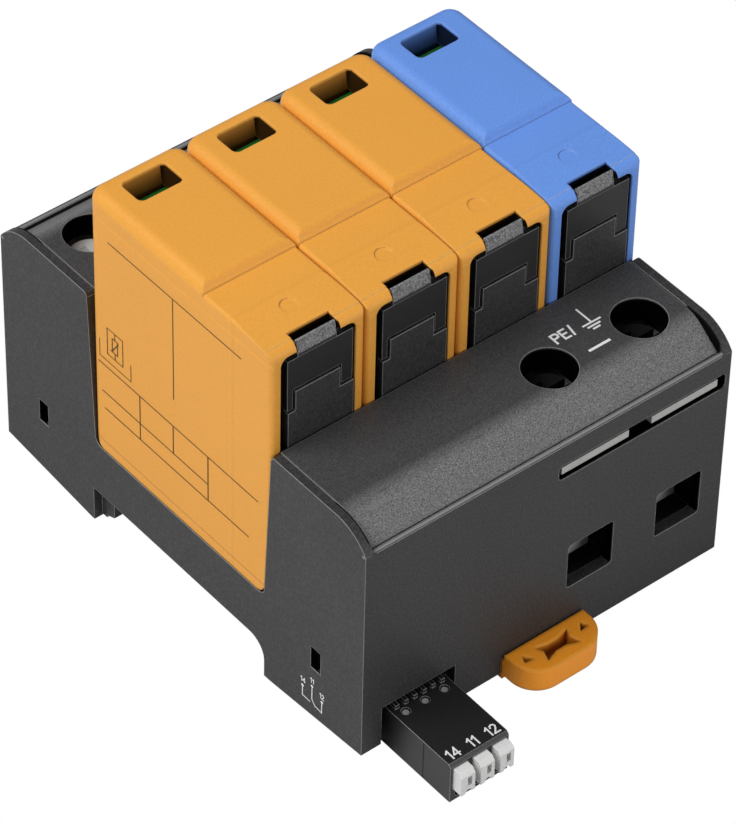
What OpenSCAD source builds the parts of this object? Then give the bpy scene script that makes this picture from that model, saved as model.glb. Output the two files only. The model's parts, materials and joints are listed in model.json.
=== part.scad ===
// DIN rail surge arrester: a base with screw terminals, four plug-in modules and a signalling plug.
// Units are mm. X runs along the rail, Y across it with the earth terminals at -Y, Z away from the rail.
// The origin is the middle of the base, on the plane that the base rests on.

/* [Base] */
// Width of one module place along the rail
place_w = 18; // [17:0.25:20]
// Length of the base across the rail
base_l = 90; // [86:1:100]
// Height of the flat top of the terminal blocks
block_top = 48.2; // [46:0.2:52]
// Drop from the flat top to the lip at each outer end
lip_drop = 3.8; // [2:0.2:5]
// Length of the rounded shoulder at each outer end
shoulder_l = 7; // [5:0.5:8]
// Length of the sloped part of the terminal covers, from the outer end
slope_l = 6.8; // [5.5:0.1:7.4]
// Rise of the underside toward each outer end
end_rise = 2; // [0:0.25:3]
// Thickness of the outer side walls
side_t = 1.6; // [1.2:0.1:2]
// Thickness of the two end walls
end_t = 2; // [1.6:0.1:2.6]
// Height of the floor under the modules
bay_floor = 17.5; // [16.5:0.25:20]
// Thickness of the floor under the modules
bay_floor_t = 2; // [1.5:0.25:2.5]
// Height of the floor that the conductors lie on
wire_floor = 8.5; // [8.2:0.1:9.5]
// Thickness of the ribs between the terminal chambers
rib_t = 1.8; // [1.2:0.1:2.4]

/* [Rail fixing] */
// Width of the mounting rail
rail_w = 35; // [34.5:0.1:35.5]
// Distance of the rail middle from the base middle
rail_off = 3.2; // [2:0.2:4]
// Height of the face that lies against the rail
rail_seat = 7; // [6.5:0.1:7.2]
// Height of the fixed hook
hook_h = 4.6; // [3:0.2:5]
// Reach of the fixed hook under the rail
hook_reach = 2; // [1.5:0.1:2.5]
// Width of the foot
foot_w = 16; // [14:0.5:18]
// Thickness of the foot
foot_t = 4.2; // [3.4:0.1:4.4]
// Distance that the foot stands out in front
foot_out = 7; // [6:0.5:9]
// Sliding clearance around the foot
foot_gap = 0.25; // [0.15:0.05:0.35]

/* [Terminals] */
// Place of the screws in their chamber, as a share of its length from the inner wall
screw_share = 0.438; // [0.42:0.002:0.46]
// Diameter of the screw access holes
access_d = 9; // [8.6:0.1:9.4]
// Width and height of the wire entries
entry_s = 9.2; // [8.4:0.2:9.6]
// Height of the lower edge of the wire entries
entry_z = 12.6; // [12:0.2:13]
// Thickness of the contact strips
strip_t = 1.4; // [1:0.1:1.8]
// Width of the contact strip at the busbar slot
strip_w = 13.4; // [12.5:0.1:14]
// Height of the busbar slot
slot_h = 3; // [2.4:0.1:3.2]
// Diameter of the screw shank
shank_d = 5; // [4:0.25:6]
// Diameter of the screw head
head_d = 7.8; // [7:0.1:8.2]
// Height of the screw head
head_h = 3.6; // [3:0.1:3.8]
// Wall of the clamp cage
cage_t = 1.5; // [1.2:0.1:1.8]
// Length of the clamp cage
cage_l = 9; // [8:0.25:10]
// Clearance of turning and sliding fits
run_gap = 0.08; // [0.05:0.01:0.1]

/* [Modules] */
// Length of a module across the rail
mod_l = 45; // [44:0.5:46]
// Length of a module at its lower edge
mod_low_l = 42; // [41:0.25:43]
// Height of the rear part of the module top
mod_top = 70; // [68:0.5:74]
// Step between the rear and front part of the module top
mod_step = 1.5; // [1:0.1:1.8]
// Gap between neighbouring modules
mod_gap = 0.3; // [0.2:0.05:0.5]
// Gap between a module and the base
bay_gap = 0.2; // [0.15:0.05:0.3]
// Wall of the module shell
shell_t = 1.75; // [1.5:0.05:2]
// Radius of the upper edges of a module, behind the step
edge_r = 2; // [1.2:0.1:2.2]
// Radius of the long upper edges of a module, before the step
edge_f = 0.6; // [0.3:0.1:1]
// Radius of the rear upright edges of a module
plan_r = 2.7; // [2:0.1:3.2]
// Radius of the front upright edges of a module
front_r = 0.9; // [0.4:0.1:1.2]
// Fall of the module top toward the finger notch
nose_drop = 0.7; // [0.3:0.1:1]
// Radius of the lower corners of a module
low_r = 2.2; // [2:0.1:3]
// Width of the window at the module top
win_w = 8.4; // [7.6:0.2:9.6]
// Length of the window at the module top
win_l = 5.3; // [4.5:0.1:6]
// Distance of the window from the rear of the module
win_in = 2.8; // [2.5:0.1:4]
// Width of the finger notch in the front edge
notch_w = 7.9; // [7:0.1:9]
// Depth of the finger notch
notch_l = 2.8; // [2.6:0.1:3.2]
// Thickness of the protection element
core_t = 8.4; // [7:0.2:9]
// Thickness of the contact blades
blade_t = 1.6; // [1.2:0.1:1.8]
// Length of the contact blades along the module
blade_l = 9; // [7:0.5:10]

/* [Signalling] */
// Distance of the signalling plug from the side of the base
plug_in = 5.4; // [5:0.2:7]
// Spacing of the three contacts
pole_p = 3.81; // [3.5:0.01:4]
// Height of the plug
plug_h = 8; // [7.5:0.1:8.4]
// Distance that the plug stands out in front
plug_out = 14.5; // [12:0.5:17]
// Distance that the plug goes into the base
plug_deep = 9; // [8:0.25:9.5]
// Distance that a release button stands out
button_out = 2; // [1.5:0.1:2.4]

/* [Hidden] */
$fn = 48;
places = 4;
base_w = places * place_w;
hx = base_w / 2;
hy = base_l / 2;
lip_top = block_top - lip_drop;
sh_r = (shoulder_l * shoulder_l + lip_drop * lip_drop) / (2 * lip_drop);
mod_w = place_w - mod_gap;
mh = mod_l / 2;
mlh = mod_low_l / 2;
bay_h = mh + bay_gap;
taper = atan((mh - mlh) / (block_top - bay_floor));
rail_rear = rail_off + rail_w / 2 + 0.2;
rail_front = -mlh - 0.3;
seat_r = 3.6;
bay_r = 0.9;
bay_wall = bay_h + end_t;
screw_y = bay_wall + strip_t + screw_share * (hy - end_t - bay_wall - strip_t);
cover_t = 1.8;
cover_gap = 0.15;
seat_in = end_t - 1;
groove_w = 0.45;
entry_r = 0.7;
slot_r = 0.9;
fold_r = 6;
fold_y = hy - slope_l;
fold_o = hy - seat_in - groove_w;
fold_z = block_top - 0.1;
fold_low = lip_top - 0.3;
fold_a = atan((fold_z - fold_low) / (fold_o - fold_y));
fold_t = fold_r * tan(fold_a / 2);
slot_z = entry_z + entry_s + 15.6;
strip_z = slot_z + (slot_h - strip_t) / 2;
low_z = entry_z + entry_s + 0.3;
cage_z = entry_z - 0.6 - cage_t;
cage_in = entry_s - 0.2;
cage_w = cage_in + 2 * cage_t;
cage_top_t = 3;
cage_travel = 8;
cage_h = low_z + strip_t + 1 - cage_z + cage_top_t;
head_z = strip_z + strip_t;
collar_z = head_z + head_h + 0.5;
blade_x = core_t / 2 + blade_t / 2;
blade_ys = [-10.5, 12.5];
blade_low = wire_floor + strip_t + 0.4;
leaf_t = 0.8;
leaf_gap = blade_t / 2 + 0.05;
bar_w = 4;
ix = mod_w / 2 - shell_t;
rear_in = mlh - 1.8;
shelf_z = mod_top - 5.4;
shelf_t = 1.6;
flag_t = 1;
front_top = mod_top - mod_step;
cav_top = front_top - 2.1;
crease_y = -13;
step_y = -4.3;
step_r = 1.6;
step_a = acos(1 - mod_step / (2 * step_r));
step_m = step_y - step_r * sin(step_a);
step_e = step_y - 2 * step_r * sin(step_a);
nose_r = 1.6;
inner_r = 1.5;
latch_y = mh - 0.3;
latch_t = 1.3;
arm_t = 1.4;
post_y = mh - 0.05;
post_t = 1.35;
left_gap = 1.5;
top_gap = 1.5;
catch_low = block_top + 0.294 * (mod_top - block_top);
catch_top = block_top + 0.472 * (mod_top - block_top);
catch_gap = 0.4;
tab_w = 8.4;
pivot_z = bay_floor + 12.5;
pivot_y = -(latch_y - latch_t - arm_t / 2 - 0.3);
pivot_r = 0.9;
tab_t = 0.9;
plug_w = 3 * pole_p;
plug_x = -hx + plug_in + plug_w / 2;
plug_z = 0.4;
sock_gap = 1.5;
sock_top = plug_z + plug_h + 1.6;
roof_t = 1.4;
pin_z = plug_z + 4.4;
foot_z = 0.6;
grip_z = foot_z + 1;
grip_gap = 0.3;
grey_dark = [0.22, 0.22, 0.23];
grey_black = [0.1, 0.1, 0.11];
orange = [0.91, 0.6, 0.2];
blue = [0.27, 0.45, 0.8];
metal = [0.75, 0.75, 0.72];
copper = [0.72, 0.45, 0.25];

// Placing helpers
function place_x(k) = (k - (places + 1) / 2) * place_w;
module at_place(k) translate([place_x(k), 0, 0]) children();
// Box given by its low and high corner
module span(a, b) translate(a) cube(b - a);
// Outline in the Y Z plane drawn out along X from x0 to x1
module along_x(x0, x1) translate([x0, 0, 0]) rotate([90, 0, 90]) linear_extrude(x1 - x0) children();
// Outline in the X Z plane drawn out along Y from y0 to y1
module along_y(y0, y1) translate([0, y1, 0]) rotate([90, 0, 0]) linear_extrude(y1 - y0) children();
// Rectangle with round corners, given by its low and high corner
module pane_2d(a, b, r) {
    translate([a[0] + r, a[1]]) square([b[0] - a[0] - 2 * r, b[1] - a[1]]);
    translate([a[0], a[1] + r]) square([b[0] - a[0], b[1] - a[1] - 2 * r]);
    for (x = [a[0] + r, b[0] - r]) for (y = [a[1] + r, b[1] - r]) translate([x, y]) circle(r);
}
// Front copy for side -1, rear copy for side 1
module on_side(s) mirror([0, s < 0 ? 1 : 0, 0]) children();

// Lower body outline with drafted ends and true round corners
module draft_2d(h, low, top, r, up) {
    c = h - (block_top - low) * tan(taper);
    yc = c - (r - r * sin(taper)) / cos(taper);
    ty = yc + r * cos(taper);
    tz = low + r - r * sin(taper);
    polygon([[-yc, low], [yc, low], [ty, tz], [h, block_top], [h, up], [-h, up], [-h, block_top],
        [-ty, tz]]);
    translate([yc, low + r]) circle(r);
    translate([-yc, low + r]) circle(r);
}

// Base
module rail_2d() {
    translate([rail_front + seat_r, -1]) square([rail_rear - rail_front - seat_r + 1.2, rail_seat + 1]);
    translate([rail_front, -1]) square([seat_r + 1, rail_seat - seat_r + 1]);
    translate([rail_front + seat_r, rail_seat - seat_r]) circle(seat_r);
}
module shoulder_cut_2d() {
    difference() {
        translate([hy - shoulder_l, lip_top]) square([shoulder_l + 1, lip_drop + 1]);
        translate([hy - shoulder_l, block_top - sh_r]) circle(sh_r);
    }
}
module base_2d() {
    difference() {
        polygon([[-hy, end_rise], [-bay_h, 0], [bay_h, 0], [hy, end_rise], [hy, block_top],
            [-hy, block_top]]);
        draft_2d(bay_h, bay_floor, block_top, low_r - 0.6, block_top + 1);
        rail_2d();
        for (s = [0, 1]) mirror([s, 0]) {
            shoulder_cut_2d();
            difference() {
                translate([bay_h - 0.1, block_top - bay_r]) square([bay_r + 0.1, bay_r + 1]);
                translate([bay_h + bay_r, block_top - bay_r]) circle(bay_r);
            }
        }
    }
}
// Terminal chamber with the seat of its cover, on the +Y side
module chamber_2d() {
    polygon([
        [hy - end_t, wire_floor], [hy - end_t, lip_top - 4], [hy - seat_in, lip_top - 4],
        [hy - seat_in, block_top + 1],
        [bay_h - 0.7, block_top + 1], [bay_h - 0.7, block_top - cover_t], [bay_wall, block_top - cover_t],
        [bay_wall, wire_floor]
    ]);
}
module lip_cut() span([-hx + side_t, hy - end_t, lip_top], [hx - side_t, hy + 1, block_top + 1]);
module rib(x, y0) span([x - rib_t / 2, y0, wire_floor - 0.1], [x + rib_t / 2, hy - end_t, slot_z - 1]);
module entry(x) along_y(hy - end_t - 0.5, hy + 1)
    pane_2d([x - entry_s / 2, entry_z], [x + entry_s / 2, entry_z + entry_s], entry_r);
module post(k) {
    at_place(k) {
        along_x(-ix + left_gap, ix - 0.3) intersection() {
            union() {
                translate([-bay_wall, block_top - 12]) square([bay_wall - post_y + post_t, 12 - cover_t]);
                translate([-post_y, block_top - 12]) square([post_t, 12 + catch_low - block_top]);
            }
            draft_2d(bay_h, bay_floor, block_top, low_r - 0.6, block_top + 8);
        }
        span([-tab_w / 2, -post_y, catch_low - 0.4], [tab_w / 2, -post_y + post_t, catch_top]);
    }
}
module snap_window(s, y) span([s * hx - 1, y - 1.2, wire_floor + 2.9],
    [s * hx + 1, y + 1.2, wire_floor + 7.4]);
module base_block() {
    difference() {
        union() {
            difference() {
                along_x(-hx, hx) base_2d();
                for (s = [-1, 1]) on_side(s) {
                    along_x(-hx + side_t, hx - side_t) chamber_2d();
                    lip_cut();
                }
                span([-hx + side_t, -bay_wall - 0.1, wire_floor],
                    [hx - side_t, bay_wall + 0.1, bay_floor - bay_floor_t]);
            }
            for (x = [-place_w, 0, place_w]) rib(x, bay_wall + 2.5);
            for (x = [0, place_w]) on_side(-1) rib(x, bay_wall + 2.5);
            // Roof of the plug socket
            span([plug_x - plug_w / 2 - sock_gap - 1.4, -hy + end_t, wire_floor - 0.1],
                [plug_x + plug_w / 2 + sock_gap + 1.4, -hy + 16.5, sock_top + roof_t]);
            // Fixed hook behind the rail
            span([-hx + side_t, rail_rear, 0.3], [hx - side_t, rail_rear + 1.3, rail_seat]);
            along_x(-hx + side_t, hx - side_t)
                polygon([[rail_rear + 1.3, 0.3], [rail_rear - hook_reach, 1.6],
                    [rail_rear - hook_reach, hook_h],
                    [rail_rear + 1.3, hook_h + 0.4]]);
        }
        for (k = [1:places]) entry(place_x(k));
        for (k = [3, 4]) on_side(-1) entry(place_x(k));
        // Busbar slots
        along_y(hy - end_t - 0.1, hy + 1)
            pane_2d([-hx + side_t + 0.5, slot_z], [hx - side_t - 0.5, slot_z + slot_h], slot_r);
        along_y(-hy - 1, -hy + end_t + 0.1)
            pane_2d([1.5, slot_z], [hx - 0.9, slot_z + slot_h], slot_r);
        // Passages for the contact blades
        for (k = [1:places]) for (i = [0, 1])
            span([place_x(k) + (2 * i - 1) * blade_x - 2, blade_ys[i] - blade_l / 2 - 0.3, wire_floor],
                [place_x(k) + (2 * i - 1) * blade_x + 2, blade_ys[i] + blade_l / 2 + 0.3, bay_floor + 0.1]);
        // Socket of the signalling plug
        span([plug_x - plug_w / 2 - sock_gap, -hy - 1, -1],
            [plug_x + plug_w / 2 + sock_gap, -hy + plug_deep + 1, sock_top]);
        span([plug_x - plug_w / 2, -hy + plug_deep + 0.9, plug_z + 1.5],
            [plug_x + plug_w / 2, -hy + plug_deep + 5, sock_top + roof_t + 1]);
        // Guide of the foot
        span([-foot_w / 2 - foot_gap, -hy - 1, -1],
            [foot_w / 2 + foot_gap, rail_front + 1, foot_z + foot_t + foot_gap]);
        span([-foot_w / 2 - 1.1 - foot_gap, -hy + 3, foot_z + 2.2 - foot_gap],
            [foot_w / 2 + 1.1 + foot_gap, rail_front + 1, foot_z + foot_t - 0.2 + foot_gap]);
        for (s = [-1, 1]) for (y = [-hy + 11.2, hy - 10]) snap_window(s, y);
    }
}
// Room of an end wall between the side walls, on the +Y side
module wall_room() span([-hx + side_t, hy - end_t, -1], [hx - side_t, hy + 1, block_top + 1]);
module base_housing() color(grey_dark) difference() {
    base_block();
    wall_room();
    on_side(-1) wall_room();
}
module front_wall() color(grey_dark) intersection() {
    base_block();
    on_side(-1) wall_room();
}
module rear_wall() color(grey_dark) intersection() {
    base_block();
    wall_room();
}
module catch_posts() color(grey_dark) for (k = [1:places]) post(k);

// Covers
module cover_2d() {
    difference() {
        polygon([
            [bay_h + 0.1, fold_z], [fold_y, fold_z], [fold_o, fold_low], [fold_o, lip_top - 4],
            [fold_o - 1.2, lip_top - 4], [fold_y - 0.8, block_top - cover_t - 0.3],
            [fold_y - 1.6, block_top - cover_t], [bay_h + 0.1, block_top - cover_t]
        ]);
        difference() {
            polygon([
                [fold_y - fold_t, fold_z], [fold_y - fold_t, fold_z + 1], [fold_o, fold_z + 1],
                [fold_y + fold_t * cos(fold_a), fold_z - fold_t * sin(fold_a)]
            ]);
            translate([fold_y - fold_t, fold_z - fold_r]) circle(fold_r, $fn = 96);
        }
    }
}
module cover(xs) {
    gx = hx - side_t - cover_gap;
    difference() {
        union() {
            along_x(-gx, gx) cover_2d();
            intersection() {
                for (x = xs) translate([x, screw_y, collar_z])
                    cylinder(d = access_d + 2, h = block_top - collar_z);
                along_x(-gx, gx) polygon([
                    [bay_h + 0.1, collar_z], [bay_h + 0.1, block_top - 0.5],
                    [fold_y - fold_t, block_top - 0.5],
                    [fold_y + 1, block_top - 1.6], [fold_o - 1.3, collar_z]
                ]);
            }
        }
        for (x = xs) translate([x, screw_y, collar_z - 1])
            cylinder(d = access_d, h = block_top - collar_z + 2);
    }
}
module front_cover() color(grey_dark) on_side(-1) cover([place_x(3), place_x(4)]);
module rear_cover() color(grey_dark) cover([for (k = [1:places]) place_x(k)]);

// Foot
module foot_2d() {
    difference() {
        union() {
            translate([-foot_w / 2, -hy - foot_out + 5]) square([foot_w, foot_out - 5 - grip_gap]);
            translate([-foot_w / 2 + 5, -hy - foot_out]) square([foot_w - 10, foot_out - grip_gap]);
            for (s = [-1, 1]) translate([s * (foot_w / 2 - 5), -hy - foot_out + 5]) circle(5);
        }
        translate([-foot_w / 2 - 1, -hy - grip_gap]) square([foot_w + 2, 6]);
    }
}
// Tool recess, narrow in the middle
module recess_2d() translate([0, -hy - foot_out / 2]) polygon([
    [-3.3, -1.8], [-1, -0.9], [1, -0.9], [3.3, -1.8], [2.6, 0.2],
    [3.3, 1.6], [0.9, 1], [-0.9, 1], [-3.3, 1.6], [-2.6, 0.2]
]);
// Small eye beside the recess
module eye_2d() translate([foot_w / 2 - 2.4, -hy - 2.9]) polygon([[-0.9, -0.7], [0.9, -0.5], [0.3, 0.9]]);
module rail_foot() color(orange) {
    difference() {
        translate([0, 0, grip_z]) linear_extrude(foot_t + 0.2) foot_2d();
        translate([0, 0, grip_z + 1.4]) linear_extrude(foot_t) {
            recess_2d();
            eye_2d();
            mirror([1, 0]) eye_2d();
        }
    }
    span([-foot_w / 2, -hy - 1, foot_z + 1], [foot_w / 2, -hy, foot_z + foot_t]);
    span([-foot_w / 2, -hy, foot_z], [foot_w / 2, rail_off - rail_w / 2 + 1.6, foot_z + foot_t]);
    span([-foot_w / 2 - 1.1, -hy + 9, foot_z + 2.2],
        [foot_w / 2 + 1.1, rail_front - 1, foot_z + foot_t - 0.2]);
    along_x(-foot_w / 2, foot_w / 2) polygon([
        [rail_off - rail_w / 2 - 1.6, foot_z + foot_t - 0.1],
        [rail_off - rail_w / 2 + 1.6, foot_z + foot_t - 0.1],
        [rail_off - rail_w / 2 + 1.6, foot_z + foot_t + 0.3], [rail_off - rail_w / 2, foot_z + foot_t + 0.9]
    ]);
}

// Conductors
module terminal_strip(x) {
    difference() {
        span([x - strip_w / 2, bay_wall, strip_z], [x + strip_w / 2, hy - 0.3, strip_z + strip_t]);
        translate([x, screw_y, strip_z - 1]) cylinder(d = shank_d + 0.6, h = strip_t + 2);
    }
    span([x - strip_w / 2, bay_wall, wire_floor], [x + strip_w / 2, bay_wall + strip_t, strip_z + strip_t]);
    span([x - cage_in / 2 + 0.3, bay_wall, low_z], [x + cage_in / 2 - 0.3, screw_y + 6.5, low_z + strip_t]);
}
module fork(x, i) {
    for (s = [-1, 1]) span([x + s * (leaf_gap + leaf_t / 2)
        - leaf_t / 2, blade_ys[i] - blade_l / 2, wire_floor],
        [x + s * (leaf_gap + leaf_t / 2) + leaf_t / 2, blade_ys[i] + blade_l / 2, bay_floor - 2.2]);
    span([x - bar_w / 2, blade_ys[i] - blade_l / 2, wire_floor],
        [x + bar_w / 2, blade_ys[i] + blade_l / 2, wire_floor + strip_t]);
}
module rear_run(k) {
    x = place_x(k) + blade_x;
    span([x - bar_w / 2, blade_ys[1], wire_floor],
        [x + bar_w / 2, bay_wall + strip_t, wire_floor + strip_t]);
    fork(x, 1);
}
module line_contact(k) color(metal) {
    terminal_strip(place_x(k));
    rear_run(k);
}
module line_contact_1() line_contact(1);
module line_contact_2() line_contact(2);
module line_contact_3() line_contact(3);
module neutral_contact() line_contact(4);
module neutral_bar() color(copper) {
    y = blade_ys[0] - blade_l / 2;
    x4 = place_x(4) + blade_x - bar_w / 2;
    for (k = [1:3]) fork(place_x(k) - blade_x, 0);
    span([place_x(1) - blade_x - bar_w / 2, y - bar_w, wire_floor],
        [place_w + 1.2, y + 0.1, wire_floor + strip_t]);
    span([place_w - 1.8, y - bar_w, wire_floor],
        [place_w + 1.2, blade_ys[1] + blade_l / 2 + 3, wire_floor + strip_t]);
    span([place_w - 1.8, blade_ys[1] + blade_l / 2, wire_floor],
        [x4, blade_ys[1] + blade_l / 2 + 3, wire_floor + strip_t]);
}
module earth_contact() color(metal) {
    x = place_x(4) - blade_x;
    on_side(-1) for (k = [3, 4]) terminal_strip(place_x(k));
    span([place_x(3), -bay_wall - strip_t, wire_floor], [place_x(4), -bay_wall, entry_z]);
    span([x - bar_w / 2, -bay_wall - strip_t, wire_floor],
        [x + bar_w / 2, blade_ys[0], wire_floor + strip_t]);
    fork(x, 0);
}

// Clamps
module cage(x, s) color(metal) on_side(s) translate([x, screw_y, cage_z]) difference() {
    span([-cage_w / 2, -cage_l / 2, 0], [cage_w / 2, cage_l / 2, cage_h]);
    span([-cage_in / 2, -cage_l / 2 - 1, cage_t], [cage_in / 2, cage_l / 2 + 1, cage_h - cage_top_t]);
    translate([0, 0, cage_h - cage_top_t - 1]) cylinder(d = shank_d + 2 * run_gap, h = cage_top_t + 2);
}
module screw(x, s) color(metal) on_side(s) translate([x, screw_y, head_z]) difference() {
    union() {
        translate([0, 0, 0.05]) cylinder(d = head_d, h = head_h);
        translate([0, 0, -(head_z - cage_z - cage_h + cage_top_t + 1)])
            cylinder(d = shank_d, h = head_z - cage_z - cage_h + cage_top_t + 1.1);
    }
    span([-head_d, -0.6, head_h - 1.6], [head_d, 0.6, head_h + 1]);
    span([-0.6, -head_d * 0.31, head_h * 0.53], [0.6, head_d * 0.31, head_h + 1]);
}
module clamp_cage_1() cage(place_x(1), 1);
module clamp_cage_2() cage(place_x(2), 1);
module clamp_cage_3() cage(place_x(3), 1);
module clamp_cage_4() cage(place_x(4), 1);
module clamp_cage_5() cage(place_x(3), -1);
module clamp_cage_6() cage(place_x(4), -1);
module clamp_screw_1() screw(place_x(1), 1);
module clamp_screw_2() screw(place_x(2), 1);
module clamp_screw_3() screw(place_x(3), 1);
module clamp_screw_4() screw(place_x(4), 1);
module clamp_screw_5() screw(place_x(3), -1);
module clamp_screw_6() screw(place_x(4), -1);

// Signalling parts in the base
board_z = sock_top + roof_t;
module signal_board() color([0.1, 0.35, 0.2])
    span([plug_x - plug_w / 2 - 1, -hy + end_t + 0.5, board_z],
        [plug_x + plug_w / 2 + 3, -hy + 16.3, board_z + 1.6]);
module signal_switch() color(grey_black) {
    span([plug_x - 6.4, -hy + 4, board_z + 1.6], [plug_x + 6.4, -hy + 10, board_z + 8]);
    span([plug_x - 1, -hy + 6, board_z + 8], [plug_x + 1, -hy + 8, board_z + 9]);
}
module signal_header() color(grey_black) {
    y = -hy + plug_deep + 1;
    span([plug_x - plug_w / 2, y, plug_z + 1.5], [plug_x + plug_w / 2, y + 3.9, board_z]);
    for (i = [-1:1]) translate([plug_x + i * pole_p, y + 0.1, pin_z]) rotate([90, 0, 0])
        cylinder(d = 1, h = 6.6);
}

// Signalling plug
pb = -hy - plug_out;
pe = -hy + plug_deep;
button_w = pole_p - 1.1;
module button_hole(i) span([plug_x + i * pole_p - button_w / 2 - 0.1, pb - 1, plug_z + 2.6],
    [plug_x + i * pole_p + button_w / 2 + 0.1, pb + 7, plug_z + 7.2]);
module plug_housing() color(grey_black) difference() {
    union() {
        span([plug_x - plug_w / 2, pb, plug_z], [plug_x + plug_w / 2, pe, plug_z + plug_h]);
        // Keying ribs in the mouth of the socket
        for (i = [0:5]) span([plug_x + (i - 2.5) * plug_w / 6.4 - 0.35, -hy - 0.4, plug_z + plug_h - 0.1],
            [plug_x + (i - 2.5) * plug_w / 6.4 + 0.35, pe - 1, plug_z + plug_h + 0.7]);
    }
    along_x(plug_x - plug_w, plug_x + plug_w) polygon([
        [pb - 1, plug_z + plug_h - 0.5], [pb, plug_z + plug_h - 0.5], [pb + 0.5, plug_z + plug_h],
        [pb + 0.5, plug_z + plug_h + 1], [pb - 1, plug_z + plug_h + 1]
    ]);
    for (i = [-1:1]) {
        button_hole(i);
        translate([plug_x + i * pole_p, pb + 8, plug_z + 1.4]) rotate([90, 0, 0])
            cylinder(d = 1.8, h = 20, $fn = 24);
        translate([plug_x + i * pole_p, pe + 1, pin_z]) rotate([90, 0, 0])
            cylinder(d = 1.4, h = 9, $fn = 24);
        translate([plug_x + i * pole_p, -hy - 1.6, pin_z]) cylinder(d = 1.5, h = 10, $fn = 24);
        span([plug_x + i * pole_p - 0.75, pb + 7.5, pin_z - 1.1],
            [plug_x + i * pole_p + 0.75, -hy - 0.8, pin_z + 1.1]);
    }
}
module plug_contacts() color(metal) for (i = [-1:1]) {
    span([plug_x + i * pole_p - 0.75, pb + 7.5, pin_z - 1.1],
        [plug_x + i * pole_p + 0.75, -hy - 0.8, pin_z + 1.1]);
    translate([plug_x + i * pole_p, -hy - 1.6, pin_z]) cylinder(d = 1.1, h = plug_h - 4.4 - 0.2, $fn = 24);
}
module plug_button(i) color([0.78, 0.78, 0.76]) translate([plug_x + i * pole_p, 0, 0]) difference() {
    along_x(-button_w / 2, button_w / 2) polygon([
        [pb - button_out, plug_z + 2.7], [pb + 5, plug_z + 2.7], [pb + 5, plug_z + 7.1],
        [pb - button_out + 0.7, plug_z + 7.1], [pb - button_out, plug_z + 6.4]
    ]);
    span([-0.1, pb - button_out - 1, plug_z + 4.2], [0.7, pb - button_out + 1.6, plug_z + 6]);
    translate([0.1, pb - button_out - 1, plug_z + 2.7]) rotate([-90, 0, 0])
        cylinder(r = 0.65, h = 2.6, $fn = 24);
}
module plug_button_1() plug_button(-1);
module plug_button_2() plug_button(0);
module plug_button_3() plug_button(1);

// Modules, drawn about the middle of their place
module top_2d() {
    draft_2d(mh, bay_floor, block_top, low_r, front_top - 4);
    difference() {
        union() {
            polygon([
                [-mh, block_top], [mh, block_top], [mh, mod_top], [step_y, mod_top],
                [step_m, (mod_top + front_top) / 2], [step_e, front_top], [crease_y, front_top],
                [-mh, front_top - nose_drop]
            ]);
            translate([step_y, mod_top - step_r]) circle(step_r);
        }
        translate([step_e, front_top + step_r]) circle(step_r);
        difference() {
            translate([mh - edge_r, mod_top - edge_r]) square(edge_r + 1);
            translate([mh - edge_r, mod_top - edge_r]) circle(edge_r);
        }
        difference() {
            translate([-mh - 1, front_top - nose_drop - nose_r]) square([nose_r + 1, nose_r + 1]);
            translate([-mh + nose_r, front_top - nose_drop - nose_r]) circle(nose_r);
        }
    }
}
module edge_2d(top, r) {
    translate([-mod_w / 2, 0]) square([mod_w, top - r]);
    translate([-mod_w / 2 + r, 0]) square([mod_w - 2 * r, top]);
    for (s = [-1, 1]) translate([s * (mod_w / 2 - r), top - r]) circle(r);
}
module plan_2d() {
    translate([-mod_w / 2, -mh + front_r]) square([mod_w, mod_l - front_r - plan_r]);
    translate([-mod_w / 2 + plan_r, 0]) square([mod_w - 2 * plan_r, mh]);
    translate([-mod_w / 2 + front_r, -mh]) square([mod_w - 2 * front_r, mh]);
    for (s = [-1, 1]) translate([s * (mod_w / 2 - plan_r), mh - plan_r]) circle(plan_r);
    for (s = [-1, 1]) translate([s * (mod_w / 2 - front_r), -mh + front_r]) circle(front_r);
}
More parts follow.
